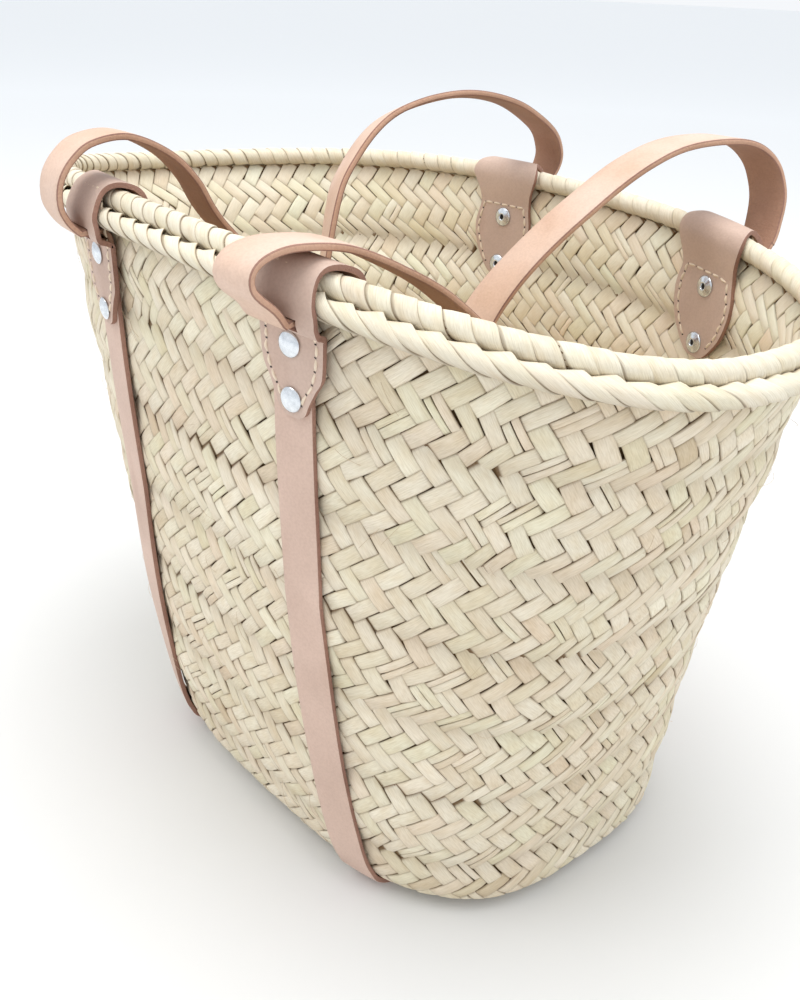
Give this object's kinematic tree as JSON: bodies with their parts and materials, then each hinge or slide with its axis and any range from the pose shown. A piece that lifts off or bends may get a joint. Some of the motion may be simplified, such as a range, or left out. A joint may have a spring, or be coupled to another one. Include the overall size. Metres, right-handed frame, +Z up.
{
  "type": "woven market basket",
  "caption": "Plaited palm-leaf market basket with a wrapped rim, leather tabs folded over the rim, leather base straps and long leather handles hanging into the opening.",
  "frame": {"origin": "on the floor, under the middle of the whole basket's box, handles included", "axes": "+X along the basket's length towards its steeper end, +Y across it towards the back long side, +Z up"},
  "size_m": [0.4306, 0.3097, 0.3386],
  "materials": {
    "palm_leaf": "matte plaited palm leaf",
    "rim_palm_leaf": "matte wrapped palm leaf",
    "tab_leather": "matte natural vegetable-tanned leather",
    "strap_leather": "matte natural vegetable-tanned leather",
    "handle_leather": "satin natural vegetable-tanned leather",
    "rivet_steel": "bright nickel plate"
  },
  "bodies": {
    "basket": {"plaited_body": "palm_leaf", "rim_roll": "rim_palm_leaf", "rim_binding": "rim_palm_leaf", "near_base_strap": "strap_leather", "far_base_strap": "strap_leather", "front_near_tab": "tab_leather", "front_far_tab": "tab_leather", "back_near_tab": "tab_leather", "back_far_tab": "tab_leather", "front_near_handle_tail": "handle_leather", "front_far_handle_tail": "handle_leather", "back_near_handle_tail": "handle_leather", "back_far_handle_tail": "handle_leather", "front_near_upper_rivet": "rivet_steel", "front_near_lower_rivet": "rivet_steel", "front_far_upper_rivet": "rivet_steel", "front_far_lower_rivet": "rivet_steel", "back_near_upper_rivet": "rivet_steel", "back_near_lower_rivet": "rivet_steel", "back_far_upper_rivet": "rivet_steel", "back_far_lower_rivet": "rivet_steel", "front_near_upper_rivet_washer": "rivet_steel", "front_near_lower_rivet_washer": "rivet_steel", "front_far_upper_rivet_washer": "rivet_steel", "front_far_lower_rivet_washer": "rivet_steel", "back_near_upper_rivet_washer": "rivet_steel", "back_near_lower_rivet_washer": "rivet_steel", "back_far_upper_rivet_washer": "rivet_steel", "back_far_lower_rivet_washer": "rivet_steel"},
    "front_handle_body": {"front_handle": "handle_leather"},
    "back_handle_body": {"back_handle": "handle_leather"}
  },
  "joints": [
    {"name": "back_handle_lift", "type": "hinge", "parent": "basket", "child": "back_handle_body", "pos_m": [0.02838, 0.13258, 0.2719], "axis": [-0.9975, 0.0605, 0.0368], "range_deg": [0, 70]},
    {"name": "front_handle_lift", "type": "hinge", "parent": "basket", "child": "front_handle_body", "pos_m": [0.02051, -0.14105, 0.28361], "axis": [0.9985, 0.0406, -0.0361], "range_deg": [0, 70]}
  ],
  "couplings": [
    {"joint": "front_handle_lift", "follows": "back_handle_lift", "ratio": 1}
  ]
}
